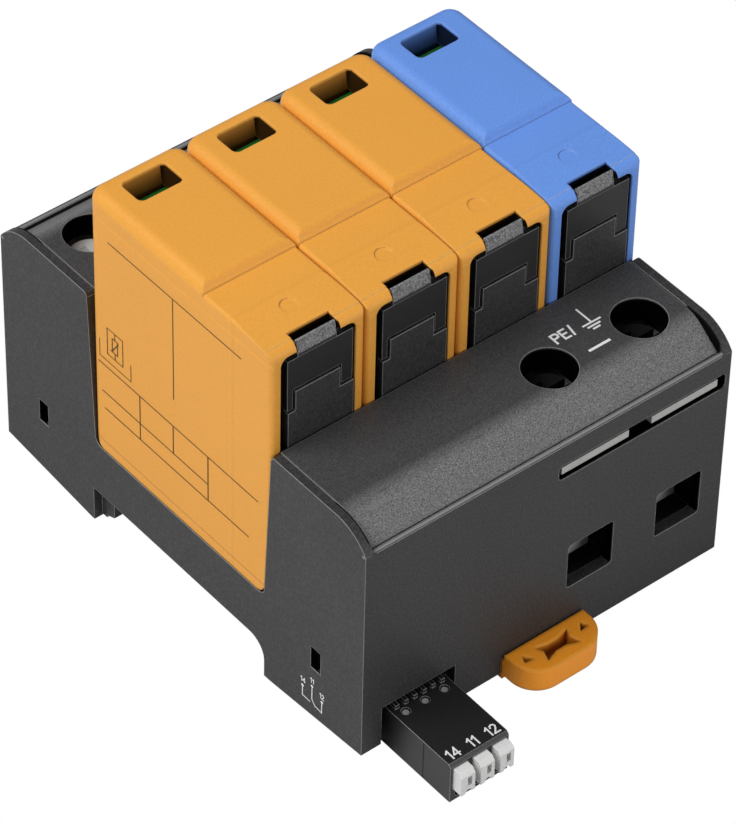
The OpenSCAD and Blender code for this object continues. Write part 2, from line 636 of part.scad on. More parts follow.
// Waste at the upper rear corner on the +X side, outside a round corner
module corner_waste() difference() {
    span([mod_w / 2 - plan_r, mh - plan_r, mod_top - edge_r], [mod_w / 2 + 1, mh + 1, mod_top + 1]);
    translate([mod_w / 2 - plan_r, mh - plan_r, 0]) rotate_extrude() {
        translate([0, mod_top - edge_r - 1]) square([plan_r, 1]);
        translate([0, mod_top - edge_r - 1]) square([plan_r - edge_r, edge_r + 1]);
        intersection() {
            translate([plan_r - edge_r, mod_top - edge_r]) circle(edge_r);
            translate([0, mod_top - edge_r - 1]) square([plan_r, edge_r + 1]);
        }
    }
}
module window_2d(r) pane_2d([-win_w / 2, -win_l], [win_w / 2, 0], r);
module shell(k, c) color(c) at_place(k) difference() {
    intersection() {
        along_x(-mod_w / 2, mod_w / 2) top_2d();
        translate([0, 0, bay_floor - 1]) linear_extrude(mod_top - bay_floor + 2) plan_2d();
        union() {
            along_y(step_m - 0.5, mh + 1) edge_2d(mod_top, edge_r);
            along_y(-mh - 1, step_m) edge_2d(front_top, edge_f);
        }
    }
    corner_waste();
    mirror([1, 0, 0]) corner_waste();
    along_y(-mh - 1, rear_in) {
        translate([-ix, bay_floor - 1]) square([2 * ix, cav_top - inner_r - bay_floor + 1]);
        translate([-ix + inner_r, bay_floor - 1]) square([2 * ix - 2 * inner_r, cav_top - bay_floor + 1]);
        for (s = [-1, 1]) translate([s * (ix - inner_r), cav_top - inner_r]) circle(inner_r);
    }
    span([-notch_w / 2, -mh - 1, cav_top - 1], [notch_w / 2, -mh + notch_l, mod_top]);
    // Window with sloping sides
    intersection() {
        along_x(-20, 20) polygon([
            [mh - win_in, mod_top + 0.01], [mh - win_in - 0.7, cav_top - 0.1],
            [mh - win_in - win_l + 0.7, cav_top - 0.1], [mh - win_in - win_l, mod_top + 0.01]
        ]);
        along_y(-30, 30) translate([-0.3, 0]) polygon([
            [-win_w / 2, mod_top + 0.01], [win_w / 2, mod_top + 0.01],
            [win_w / 2 - 0.9, cav_top - 0.1], [-win_w / 2 + 0.9, cav_top - 0.1]
        ]);
        translate([-0.3, mh - win_in, cav_top - 0.2]) linear_extrude(mod_top - cav_top + 1) window_2d(1.1);
    }
    translate([0, -mh + 7.1, front_top - 0.3]) cylinder(d = 2.9, h = 2);
    translate([-ix - 0.8, pivot_y, pivot_z]) rotate([0, 90, 0])
        cylinder(r = pivot_r + run_gap, h = 2 * ix + 1.6);
}
module frame(k) color(grey_black) at_place(k) difference() {
    along_x(-ix, ix) difference() {
        translate([-mlh + 4, bay_floor]) square([mlh - 4 + rear_in, shelf_z - bay_floor]);
        translate([-mlh + 5.6, bay_floor + 2])
            square([mlh - 5.6 + rear_in - 1.6, shelf_z - shelf_t - bay_floor - 2]);
    }
    for (i = [0, 1]) span([(2 * i - 1)
        * blade_x - blade_t / 2 - 0.05, blade_ys[i] - blade_l / 2 - 0.05, bay_floor - 1],
        [(2 * i - 1) * blade_x + blade_t / 2 + 0.05, blade_ys[i] + blade_l / 2 + 0.05, bay_floor + 3]);
}
module latch(k) color(grey_black) at_place(k) {
    w = ix - 0.4;
    wl = ix - left_gap;
    y = -latch_y;
    t = tab_w / 2 + 0.4;
    low = catch_low + catch_gap;
    top = catch_top + catch_gap;
    span([-wl, y, top], [w, y + latch_t, cav_top - top_gap]);
    span([-wl, y, low], [-t, y + latch_t, top + 0.1]);
    span([t, y, low], [w, y + latch_t, top + 0.1]);
    along_x(-notch_w / 2 + 0.3, notch_w / 2 - 0.3) polygon([
        [y, cav_top - top_gap - 0.1], [y + tab_t, cav_top - top_gap - 0.1], [y + tab_t, front_top - 0.8],
        [y + 0.5, front_top - 0.8]
    ]);
    span([-wl + 0.5, y + latch_t, pivot_z], [w - 1, y + latch_t + arm_t, cav_top - 2]);
    translate([-ix - 0.6, pivot_y, pivot_z]) rotate([0, 90, 0]) cylinder(r = pivot_r, h = 2 * ix + 1.2);
}
module blades(k) color(copper) at_place(k) for (i = [0, 1])
    span([(2 * i - 1) * blade_x - blade_t / 2, blade_ys[i] - blade_l / 2, blade_low],
        [(2 * i - 1) * blade_x + blade_t / 2, blade_ys[i] + blade_l / 2, bay_floor + 14 + 8 * i]);
module varistor(k) color([0.25, 0.3, 0.45]) at_place(k)
    span([-core_t / 2, -mlh + 6.4, bay_floor + 2], [core_t / 2, rear_in - 2.4, bay_floor + 36]);
module gas_tube(k) color([0.85, 0.83, 0.78]) at_place(k) {
    r = 14;
    translate([-core_t / 2, 1, bay_floor + 2 + r]) rotate([0, 90, 0]) cylinder(r = r - 3, h = core_t);
    translate([-core_t / 2 + 1.2, 1, bay_floor + 2 + r]) rotate([0, 90, 0])
        cylinder(r = r, h = core_t - 2.4);
}
module strap(k) color(copper) at_place(k) {
    x = -blade_x - blade_t / 2;
    span([x, blade_ys[0] - 2, bay_floor + 14], [x + blade_t, blade_ys[0] + 2, bay_floor + 33]);
    span([x, blade_ys[0] - 2, bay_floor + 31], [x + 0.8, blade_ys[0] + 2, shelf_z - shelf_t - 0.6]);
}
module flag(k) color([0.12, 0.45, 0.15]) at_place(k)
    span([-0.3 - win_w / 2 - 0.6, rear_in - 8.2, shelf_z + 0.1],
        [-0.3 + win_w / 2 + 0.6, rear_in - 0.3, shelf_z + 0.1 + flag_t]);
module module_1_shell() shell(1, orange);
module module_2_shell() shell(2, orange);
module module_3_shell() shell(3, orange);
module module_4_shell() shell(4, blue);
module module_1_frame() frame(1);
module module_2_frame() frame(2);
module module_3_frame() frame(3);
module module_4_frame() frame(4);
module module_1_latch() latch(1);
module module_2_latch() latch(2);
module module_3_latch() latch(3);
module module_4_latch() latch(4);
module module_1_blades() blades(1);
module module_2_blades() blades(2);
module module_3_blades() blades(3);
module module_4_blades() blades(4);
module module_1_core() varistor(1);
module module_2_core() varistor(2);
module module_3_core() varistor(3);
module module_4_core() gas_tube(4);
module module_1_strap() strap(1);
module module_2_strap() strap(2);
module module_3_strap() strap(3);
module module_1_flag() flag(1);
module module_2_flag() flag(2);
module module_3_flag() flag(3);
module module_4_flag() flag(4);

// Drawing
base_housing();
front_wall();
rear_wall();
catch_posts();
front_cover();
rear_cover();
rail_foot();
line_contact_1();
line_contact_2();
line_contact_3();
neutral_contact();
neutral_bar();
earth_contact();
clamp_cage_1();
clamp_cage_2();
clamp_cage_3();
clamp_cage_4();
clamp_cage_5();
clamp_cage_6();
clamp_screw_1();
clamp_screw_2();
clamp_screw_3();
clamp_screw_4();
clamp_screw_5();
clamp_screw_6();
signal_board();
signal_switch();
signal_header();
plug_housing();
plug_contacts();
plug_button_1();
plug_button_2();
plug_button_3();
module_1_shell();
module_1_frame();
module_1_latch();
module_1_blades();
module_1_core();
module_1_strap();
module_1_flag();
module_2_shell();
module_2_frame();
module_2_latch();
module_2_blades();
module_2_core();
module_2_strap();
module_2_flag();
module_3_shell();
module_3_frame();
module_3_latch();
module_3_blades();
module_3_core();
module_3_strap();
module_3_flag();
module_4_shell();
module_4_frame();
module_4_latch();
module_4_blades();
module_4_core();
module_4_flag();
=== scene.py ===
import json
import math

import bpy
import numpy as np
from mathutils import Matrix


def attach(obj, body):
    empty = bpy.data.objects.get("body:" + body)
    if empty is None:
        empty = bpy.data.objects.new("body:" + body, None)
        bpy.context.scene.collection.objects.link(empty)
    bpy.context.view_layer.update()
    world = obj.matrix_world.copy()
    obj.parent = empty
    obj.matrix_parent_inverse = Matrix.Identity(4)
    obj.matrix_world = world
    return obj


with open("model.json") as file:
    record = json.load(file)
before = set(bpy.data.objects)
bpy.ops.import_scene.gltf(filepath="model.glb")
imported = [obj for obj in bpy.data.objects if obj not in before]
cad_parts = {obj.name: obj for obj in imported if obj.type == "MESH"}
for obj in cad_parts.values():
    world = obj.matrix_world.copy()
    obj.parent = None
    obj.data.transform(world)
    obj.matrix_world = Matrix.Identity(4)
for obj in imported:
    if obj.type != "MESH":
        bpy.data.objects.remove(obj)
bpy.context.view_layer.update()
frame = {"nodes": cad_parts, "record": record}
MM = 0.001

# Places on the solids, in mm. The base and its covers are alike before and behind the middle.
PLACES, PLACE_W = 4, 18.0
BASE_X = PLACES * PLACE_W / 2
SCREW_Y = 33.5
SEAM_X, SEAM_Y = (33.9, 34.9), 44.0
ENTRY_X, ENTRY_Y, ENTRY_Z = 35.5, (42.8, 44.75), (12.75, 43.2)
SNAP_X, SNAP_Y, SNAP_Z = (34.4, 35.85), 44.4, (10.5, 17.0)
BLOCK_YS, BLOCK_Z = ((-35.1, -33.9), (33.7, 34.9)), 14.2
LIP_Y, LIP_Z = (44.2, 44.75), (44.1, 44.6)
SHOULDER_X, SHOULDER_Y, SHOULDER_Z = (34.25, 34.6), (36.0, 44.0), 44.0
SCREW_HEAD_R, SCREW_HEAD_Z = 5.2, 37.0
COVER_HOLE_R, COVER_HOLE_Z, COVER_SLOPE_Y = 4.7, 47.75, 37.6
LATCH_TAB_Z = 65.4
FIELD_LEAN, FIELD_Y, FIELD_Z = 0.23, -20.6, (19.6, 65.6)
CREASE_Y, CREASE_W = -13.0, 0.7
NOSE_Y, NOSE_Z = (-20.96, -20.84), 67.7
NOTCH_X, NOTCH_Y, NOTCH_Z = 4.1, -19.55, 67.55
MOUTH_X, MOUTH_Y, MOUTH_Z = 7.25, (-22.1, 10.0), 66.6
WINDOW_MID, WINDOW_X, WINDOW_Y, WINDOW_Z = -0.3, 4.3, (14.3, 19.8), 69.6
WINDOW_WALL, WINDOW_TOP, WINDOW_DEPTH = 3.1, 70.0, 3.6
PIT_X, PIT_Y, PIT_Z, FOOT_TOP = 6.6, (-50.4, -46.75), (2.9, 5.9), 6.0
PLUG_SEAM_Y, PLUG_SIDE_Z = -53.2, 8.2

# Black stands for painted shade in openings and holes, and for the plug's dark seam. Pale is the colour of
# painted edge highlights and the lip's painted highlight, and of light grains. Speck is the cover's grain and
# the painted light on its slope.
BLACK = (0.003, 0.003, 0.003)
PALE = (0.42, 0.42, 0.425)
SPECK = (0.26, 0.26, 0.265)
TAB_DARK, TAB_LIGHT = (0.08, 0.08, 0.082), (0.34, 0.34, 0.35)


class Val:
    """A socket of a shader tree. Plain arithmetic on it adds math nodes."""

    def __init__(self, tree, sock):
        self.tree, self.sock = tree, sock

    def op(self, kind, a, b=None, clamp=False):
        n = self.tree.nodes.new("ShaderNodeMath")
        n.operation = kind
        n.use_clamp = clamp
        for i, v in enumerate((a, b)):
            if isinstance(v, Val):
                self.tree.links.new(v.sock, n.inputs[i])
            elif v is not None:
                n.inputs[i].default_value = v
        return Val(self.tree, n.outputs[0])

    def __add__(self, o):
        return self.op("ADD", self, o)

    def __sub__(self, o):
        return self.op("SUBTRACT", self, o)

    def __rsub__(self, o):
        return self.op("SUBTRACT", o, self)

    def __mul__(self, o):
        return self.op("MULTIPLY", self, o)

    def __truediv__(self, o):
        return self.op("DIVIDE", self, o)

    def __pow__(self, o):
        return self.op("POWER", self, o)

    __radd__ = __add__
    __rmul__ = __mul__

    def clip(self):
        return self.op("ADD", self, 0.0, True)

    def size(self):
        return self.op("ABSOLUTE", self)

    def above(self, edge, soft):
        """0 below edge, 1 above it, with a ramp of width soft."""
        return ((self - edge) / soft + 0.5).clip()

    def below(self, edge, soft):
        """1 below edge, 0 above it, with a ramp of width soft."""
        return 1.0 - self.above(edge, soft)

    def between(self, low, high, soft):
        """1 from low to high and 0 outside, with ramps of width soft."""
        return self.above(low, soft) * self.below(high, soft)


class Mat:
    """One material: a Principled shader, Object coordinates in mm, and rounded edge normals."""

    def __init__(self, name, rough=0.5, metal=0.0, spec=0.5, edge_r=0.25):
        self.mat = bpy.data.materials.new(name)
        self.mat.use_nodes = True
        t = self.tree = self.mat.node_tree
        t.nodes.clear()
        self.bsdf = t.nodes.new("ShaderNodeBsdfPrincipled")
        out = t.nodes.new("ShaderNodeOutputMaterial")
        t.links.new(self.bsdf.outputs[0], out.inputs["Surface"])
        self.bsdf.inputs["Roughness"].default_value = rough
        self.bsdf.inputs["Metallic"].default_value = metal
        self.bsdf.inputs["Specular IOR Level"].default_value = spec
        self.vec = t.nodes.new("ShaderNodeTexCoord").outputs["Object"]
        sep = t.nodes.new("ShaderNodeSeparateXYZ")
        t.links.new(self.vec, sep.inputs[0])
        self.x, self.y, self.z = (Val(t, sep.outputs[i]) * (1.0 / MM) for i in range(3))
        self.face = t.nodes.new("ShaderNodeNewGeometry").outputs["Normal"]
        bevel = t.nodes.new("ShaderNodeBevel")
        bevel.samples = 6
        bevel.inputs["Radius"].default_value = edge_r * MM
        self.normal = self.round = bevel.outputs[0]

    def noise(self, per_mm, detail=2.0, rough=0.5, stretch=None):
        """Noise with so many waves a mm, drawn out along the axes where stretch is given."""
        n = self.tree.nodes.new("ShaderNodeTexNoise")
        n.inputs["Scale"].default_value = per_mm / MM
        n.inputs["Detail"].default_value = detail
        n.inputs["Roughness"].default_value = rough
        vec = self.vec
        if stretch:
            m = self.tree.nodes.new("ShaderNodeMapping")
            m.inputs["Scale"].default_value = stretch
            self.tree.links.new(vec, m.inputs[0])
            vec = m.outputs[0]
        self.tree.links.new(vec, n.inputs["Vector"])
        return Val(self.tree, n.outputs[0])

    def specks(self, per_mm, edge, soft):
        """Coarse grains: 1 where a rough noise lies above edge."""
        return self.noise(per_mm, 2.0, 0.7).above(edge, soft)

    def flat_where(self, mask):
        """Takes the face normal in place of the rounded one where mask is 1."""
        n = self.tree.nodes.new("ShaderNodeMix")
        n.data_type = "VECTOR"
        for sock, i in ((mask.sock, 0), (self.round, 4), (self.face, 5)):
            self.tree.links.new(sock, n.inputs[i])
        self.normal = self.round = n.outputs[1]

    def edges(self, gain):
        """How far the rounded normal leaves the face normal: 0 on flats, up to 1 along edges."""
        d = self.tree.nodes.new("ShaderNodeVectorMath")
        d.operation = "DOT_PRODUCT"
        self.tree.links.new(self.round, d.inputs[0])
        self.tree.links.new(self.face, d.inputs[1])
        return ((1.0 - Val(self.tree, d.outputs["Value"])) * gain).clip()

    def in_place(self):
        """X within its module place, from minus to plus half a place about the middle of each."""
        return self.x.op("FLOORED_MODULO", self.x + BASE_X, PLACE_W) - PLACE_W / 2

    def from_screw(self, along):
        """Distance from the axis of the nearest screw, where along is the way from its row."""
        return (self.in_place() ** 2.0 + along ** 2.0) ** 0.5

    def mix(self, fac, a, b):
        n = self.tree.nodes.new("ShaderNodeMix")
        n.data_type = "RGBA"
        self.tree.links.new(fac.sock, n.inputs[0])
        for i, c in ((6, a), (7, b)):
            if isinstance(c, bpy.types.NodeSocket):
                self.tree.links.new(c, n.inputs[i])
            else:
                n.inputs[i].default_value = (*c, 1.0)
        return n.outputs[2]

    def bump(self, height, depth_mm):
        n = self.tree.nodes.new("ShaderNodeBump")
        n.inputs["Distance"].default_value = depth_mm * MM
        n.inputs["Strength"].default_value = 1.0
        self.tree.links.new(height.sock, n.inputs["Height"])
        self.tree.links.new(self.normal, n.inputs["Normal"])
        self.normal = n.outputs[0]

    def set(self, name, value):
        sock = value.sock if isinstance(value, Val) else value
        self.tree.links.new(sock, self.bsdf.inputs[name])

    def done(self):
        self.tree.links.new(self.normal, self.bsdf.inputs["Normal"])
        return self.mat


def shade(c, f):
    return tuple(min(1.0, v * f) for v in c)


def plastic(name, color, rough=0.45, tone=0.08, grain=3.5, depth=0.01, light=None, edge=0.0,
            edge_r=0.25, spec=0.5, prepare=None, extra=None):
    """Moulded plastic: slow tone drift, fine grain in colour, roughness and height, painted highlights along
    the edges. What extra gives back is the colour with its marks, and where it is painted black, if at all:
    painted shade, and on the plug its dark seam."""
    m = Mat(name, rough, 0.0, spec, edge_r)
    if prepare:
        prepare(m)
    drift = m.noise(0.05, 3.0)
    fine = m.noise(grain, 2.0, 0.6)
    mixed = ((fine - 0.5) * 1.6 + drift * 0.5 + 0.25).clip()
    col = m.mix(mixed, shade(color, 1.0 - tone), shade(color, 1.0 + tone))
    # Painted highlight: lighter colour along rounded edges, where the rounded normal leaves the face normal.
    if edge:
        m.light = light
        col = m.mix(m.edges(9.0) * edge, col, light)
    gloss = fine * 0.16 + (rough - 0.08)
    dark = None
    if extra:
        col, dark = extra(m, col)
    # Painted shade: where the mask says, the colour goes black and metallic so no light shows; on the plug the
    # mask is its dark seam.
    if dark is not None:
        col = m.mix(dark, col, BLACK)
        gloss = gloss + dark * 0.6
        m.set("Metallic", dark)
    m.set("Base Color", col)
    m.set("Roughness", gloss.clip())
    m.bump(fine, depth)
    return m.done()


def metal(name, color, rough, full=1.0, brush=(1.0, 1.0, 1.0), painted_shade=None):
    """Plated sheet metal: fine brushing and blotchy roughness, painted black and rougher where it lies deep in a
    hole, painted shade.
    """
    m = Mat(name, rough, full, 0.5, 0.12)
    lines = m.noise(3.0, 3.0, 0.6, brush)
    blot = m.noise(0.4, 2.0)
    col = m.mix(blot, shade(color, 0.85), shade(color, 1.1))
    gloss = lines * 0.2 + (rough - 0.1)
    # Painted shade: black and rougher where the metal lies deep in a hole.
    if painted_shade:
        deep = painted_shade(m)
        col = m.mix(deep, col, BLACK)
        gloss = gloss + deep * 0.7
    m.set("Base Color", col)
    m.set("Roughness", gloss.clip())
    m.bump(lines, 0.01)
    return m.done()


def in_hole(m):
    """How far a point lies within the two screw access holes of the front block."""
    return m.from_screw(m.y + SCREW_Y).below(SCREW_HEAD_R, 0.2) * m.z.above(SCREW_HEAD_Z, 0.4)


def housing_seams(m):
    """The end walls and side walls are one moulding, so no edge shows where they meet."""
    m.flat_where(m.x.size().between(*SEAM_X, 0.1) * m.y.size().above(SEAM_Y, 0.1))


def housing_marks(m, col):
    """Painted shade: wire entries, busbar slots, snap windows and the inner faces of the shoulders are painted
    black, with a lighter block in each snap window. The ridge of the lip carries a painted highlight, and
    light grains show all over."""
    x, y, z = m.x.size(), m.y.size(), m.z
    # Painted shade in the openings and on the inner faces of the shoulders.
    holes = y.between(*ENTRY_Y, 0.25) * x.below(ENTRY_X, 0.1) * z.between(*ENTRY_Z, 0.1)
    snaps = x.between(*SNAP_X, 0.1) * z.between(*SNAP_Z, 0.1) * y.below(SNAP_Y, 0.1)
    front, rear = (m.y.between(*span, 0.1) for span in BLOCK_YS)
    block = (front + rear) * z.below(BLOCK_Z, 0.1)
    snaps = snaps * (1.0 - block * 0.6)
    col = m.mix(m.specks(2.4, 0.58, 0.25) * 0.07, col, PALE)
    # Painted highlight on the ridge of the lip.
    ridge = z.between(*LIP_Z, 0.1) * y.between(*LIP_Y, 0.2)
    col = m.mix(ridge * 0.5, col, PALE)
    ends = x.between(*SHOULDER_X, 0.1) * z.above(SHOULDER_Z, 0.2) * y.between(*SHOULDER_Y, 0.5)
    return col, (holes + snaps + ends * 0.9).clip()


def cover_marks(m, col):
    """Spark-eroded grain, bright specks on a dark ground, most of them on the slope, which is also painted
    lighter as a whole, painted light; the access holes are painted black, painted shade.
    """
    y = m.y.size()
    slope = y.above(COVER_SLOPE_Y, 3.0)
    speck = m.specks(5.0, 0.5, 0.3)
    # Light grain specks, denser on the slope, and the slope painted lighter as a whole, painted light.
    col = m.mix(speck * (slope * 0.62 + 0.18) + slope * 0.14, col, SPECK)
    m.bump(speck, 0.025)
    # Painted shade: the inside of the access holes goes black.
    hole = m.from_screw(y - SCREW_Y).below(COVER_HOLE_R, 0.1) * m.z.below(COVER_HOLE_Z, 0.2)
    return col, hole


def latch_marks(m, col):
    """The grip tab above the shell's cavity is coarse and light grey."""
    speck = m.specks(3.0, 0.5, 0.3)
    tab = m.z.above(LATCH_TAB_Z, 0.2)
    m.bump(speck * tab, 0.08)
    return m.mix(tab, col, m.mix(speck, TAB_DARK, TAB_LIGHT)), None


def shell_marks(m, col):
    """A field on the side faces and a crease across the top, raised by a hair. The edge where the nose
    begins has a painted highlight over the shade of its small ledge. The finger notch, the mouth of the
    cavity and the window are painted dark inside, painted shade."""
    x, y, z = m.in_place(), m.y, m.z
    slant = (y + z * FIELD_LEAN).above(FIELD_Y, 0.25)
    m.bump(slant * z.above(FIELD_Z[0], 0.25) * z.below(FIELD_Z[1], 0.4), 0.12)
    m.bump(1.0 - ((y - CREASE_Y).size() / CREASE_W).clip(), 0.1)
    # Painted highlight on the small ledge where the nose begins, over its shade.
    col = m.mix(y.between(*NOSE_Y, 0.02) * z.above(NOSE_Z, 0.05), col, m.light)
    # Painted shade inside the notch, the cavity's mouth and the window, darker with depth and on the window's
    # wall.
    notch = x.size().below(NOTCH_X, 0.1) * y.below(NOTCH_Y, 0.1) * z.below(NOTCH_Z, 0.3)
    mouth = x.size().below(MOUTH_X, 0.1) * y.between(*MOUTH_Y, 0.4) * z.below(MOUTH_Z, 0.2)
    room = (x - WINDOW_MID).size().below(WINDOW_X, 0.1) * y.between(*WINDOW_Y, 0.1)
    room = room * z.below(WINDOW_Z, 0.3)
    deep = (WINDOW_TOP - z) / WINDOW_DEPTH
    wall = x.above(WINDOW_WALL, 0.2)
    window = (room * (deep * 0.35 + 0.4 + wall * 0.7)).clip()
    return col, (((notch + mouth) * 0.97).clip() + window * 0.93).clip()


def foot_marks(m, col):
    """Painted shade: the tool recess and the two eyes of the foot are painted darker towards their floors."""
    # Painted shade, darker towards the floors of the recess and the eyes.
    pit = m.z.between(*PIT_Z, 0.1) * m.y.between(*PIT_Y, 0.1) * m.x.size().below(PIT_X, 0.1)
    return col, pit * (0.12 + (FOOT_TOP - m.z) * 0.14)


def plug_lines(m, col):
    """A fine seam across the plug's sides."""
    seam = (m.y - PLUG_SEAM_Y).size().below(0.1, 0.1) * m.z.below(PLUG_SIDE_Z, 0.1)
    m.bump(1.0 - seam, 0.06)
    return col, seam * 0.5


PLASTICS = {
    "housing_grey": dict(color=(0.029, 0.029, 0.0302), rough=0.5, tone=0.4, grain=1.8, depth=0.03,
                         light=PALE, edge=0.85, edge_r=0.2, spec=0.36,
                         prepare=housing_seams, extra=housing_marks),
    "cover_grey": dict(color=(0.032, 0.032, 0.034), rough=0.5, tone=0.25, grain=3.0, depth=0.02,
                       light=PALE, edge=0.7, edge_r=0.25, spec=0.35, extra=cover_marks),
    "foot_orange": dict(color=(1.0, 0.34, 0.022), rough=0.42, tone=0.08, grain=2.0, depth=0.01,
                        light=(0.98, 0.5, 0.08), edge=0.35, edge_r=0.9, spec=0.3, extra=foot_marks),
    "board": dict(color=(0.03, 0.16, 0.07), rough=0.35),
    "black_plastic": dict(color=(0.02, 0.02, 0.02), rough=0.4),
    "plug_black": dict(color=(0.013, 0.013, 0.014), rough=0.38, tone=0.3, grain=2.5, depth=0.01,
                       light=PALE, edge=0.9, edge_r=0.16, spec=0.5, extra=plug_lines),
    "button_grey": dict(color=(0.7, 0.7, 0.695), rough=0.45, tone=0.06, grain=3.0, depth=0.006,
                        light=(0.9, 0.9, 0.9), edge=0.5, edge_r=0.2),
    "shell_orange": dict(color=(0.8, 0.36, 0.055), rough=0.46, tone=0.08, grain=2.6, depth=0.01,
                         light=(0.95, 0.56, 0.16), edge=0.3, edge_r=0.4, spec=0.25, extra=shell_marks),
    "shell_blue": dict(color=(0.14, 0.3, 0.77), rough=0.46, tone=0.16, grain=4.0, depth=0.014,
                       light=(0.34, 0.5, 0.9), edge=0.3, edge_r=0.4, spec=0.25, extra=shell_marks),
    "frame_red": dict(color=(0.05, 0.03, 0.015), rough=0.5),
    "latch_black": dict(color=(0.015, 0.015, 0.016), rough=0.45, tone=0.3, grain=2.5, depth=0.012,
                        light=PALE, edge=0.9, edge_r=0.16, spec=0.4, extra=latch_marks),
    "varistor": dict(color=(0.06, 0.1, 0.3), rough=0.3),
    "spark_gap": dict(color=(0.7, 0.68, 0.6), rough=0.3),
    "flag_green": dict(color=(0.014, 0.15, 0.02), rough=0.4),
}
METALS = {
    "tinned_metal": dict(color=(0.48, 0.48, 0.465), rough=0.36, full=0.4, brush=(0.2, 1.0, 1.0), painted_shade=in_hole),
    "copper": dict(color=(0.72, 0.42, 0.26), rough=0.35),
    "plated_steel": dict(color=(0.95, 0.94, 0.91), rough=0.34, full=0.3, brush=(1.0, 1.0, 0.3), painted_shade=in_hole),
}
MATERIALS = {name: plastic(name, **look) for name, look in PLASTICS.items()}
MATERIALS.update({name: metal(name, **look) for name, look in METALS.items()})
for part in frame["record"]["subparts"]:
    mesh = frame["nodes"][part["node"]].data
    mesh.materials.clear()
    mesh.materials.append(MATERIALS[part["material_slot"]])


def ink(name, color):
    """Printing ink: an even coat with a faint patchy cover."""
    m = Mat(name, 0.5, 0.0, 0.3, 0.02)
    patch = m.noise(6.0, 2.0)
    m.set("Base Color", m.mix(patch, shade(color, 0.86), shade(color, 1.06)))
    return m.done()


WHITE = ink("print_white", (0.82, 0.82, 0.82))
DARK = ink("print_dark", (0.05, 0.028, 0.01))
RED = ink("print_red", (0.6, 0.02, 0.015))


def add_mesh(name, verts, faces, mat, body):
    """A mesh piece at the origin from whole arrays of points (mm) and corner numbers."""
    mesh = bpy.data.meshes.new(name)
    mesh.from_pydata(np.asarray(verts, float) * MM, [], np.asarray(faces).tolist())
    mesh.update()
    mesh.materials.append(mat)
    obj = bpy.data.objects.new(name, mesh)
    bpy.context.scene.collection.objects.link(obj)
    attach(obj, body)
    return obj


TOP = ((1, 0, 0), (0, 1, 0), (0, 0, 1))
LEFT = ((0, -1, 0), (0, 0, 1), (-1, 0, 0))
INK_LIFT, STRIP_STEP = 0.03, 0.005


def on_plane(pts, origin, axes):
    """Flat points (a, b) laid on a plane: origin + a * first axis + b * second axis."""
    return np.asarray(origin, float) + np.asarray(pts, float) @ np.asarray(axes[:2], float)


def strokes(name, lines, width, origin, axes, mat, body, lift=INK_LIFT):
    """Printed strokes. Each segment is a flat strip: its two ends plus and minus half a width along the
    unit normal, and stretched by half a width along its own direction. Each strip lies a hair above
    the last."""
    seg = np.concatenate([np.stack([np.asarray(p[:-1], float), np.asarray(p[1:], float)], 1) for p in lines])
    a, b = seg[:, 0], seg[:, 1]
    along = (b - a) / np.linalg.norm(b - a, axis=1, keepdims=True) * width / 2
    side = np.stack([-along[:, 1], along[:, 0]], 1)
    flat = np.stack([a - along - side, b + along - side, b + along + side, a - along + side], 1)
    k = np.arange(len(seg))[:, None] * 4 + np.arange(4)
    up = (lift + STRIP_STEP * np.repeat(np.arange(len(seg)), 4))[:, None] * np.asarray(axes[2], float)
    return add_mesh(name, on_plane(flat.reshape(-1, 2), origin, axes) + up, k, mat, body)


# Strokes of the letters and figures in use, in a box of height 1, and the width of each
GLYPHS = {
    "P": (0.62, [[(0, 0), (0, 1), (0.36, 1), (0.53, 0.93), (0.6, 0.76), (0.53, 0.58), (0.36, 0.5), (0, 0.5)]]),
    "E": (0.56, [[(0.54, 0), (0, 0), (0, 1), (0.54, 1)], [(0, 0.52), (0.46, 0.52)]]),
    "/": (0.34, [[(0.1, -0.05), (0.3, 1.05)]]),
    "1": (0.3, [[(0, 0.76), (0.26, 1), (0.26, 0)]]),
    "2": (0.58, [[(0.03, 0.74), (0.1, 0.92), (0.3, 1), (0.48, 0.92), (0.54, 0.74), (0.44, 0.52), (0, 0),
                  (0.57, 0)]]),
    "4": (0.62, [[(0.46, 0), (0.46, 1), (0, 0.28), (0.62, 0.28)]]),
}
GLYPH_GAP = 0.24


def words(name, text, height, middle, width, origin, axes, mat, body, lift=INK_LIFT):
    """Printed figures drawn with strokes: each letter's points times the height, set side by side about
    a middle point."""
    ends = np.cumsum([GLYPHS[c][0] + GLYPH_GAP for c in text])
    start = np.asarray(middle, float) - np.array([(ends[-1] - GLYPH_GAP) / 2, 0.5]) * height
    lines = []
    for c, end in zip(text, ends):
        wide, paths = GLYPHS[c]
        corner = start + np.array([(end - wide - GLYPH_GAP) * height, 0.0])
        lines += [np.asarray(p, float) * height + corner for p in paths]
    return strokes(name, lines, width, origin, axes, mat, body, lift)


def discs(name, middles, r, origin, axes, mat, body, sides=20):
    """Printed dots: a fan of corners at r * (cos, sin) round each middle point."""
    a = np.arange(sides) * 2 * math.pi / sides
    ring = np.stack([np.cos(a), np.sin(a)], 1) * r
    flat = (np.asarray(middles, float)[:, None, :] + ring[None]).reshape(-1, 2)
    k = np.arange(len(middles))[:, None] * sides + np.arange(sides)
    up = np.asarray(axes[2], float) * INK_LIFT
    return add_mesh(name, on_plane(flat, origin, axes) + up, k, mat, body)


# Where marks are printed: origin and axes of the face, the ink and the body
ON_COVER = ((0.0, 0.0, 48.1), TOP, WHITE, "base")
ON_PLUG = ((0.0, 0.0, 8.4), TOP, WHITE, "plug", 0.02)
ON_SIDE = ((-BASE_X, 0.0, 0.0), LEFT, WHITE, "base")
ON_LABEL = ((-35.85, 0.0, 0.0), LEFT, DARK, "module_1")

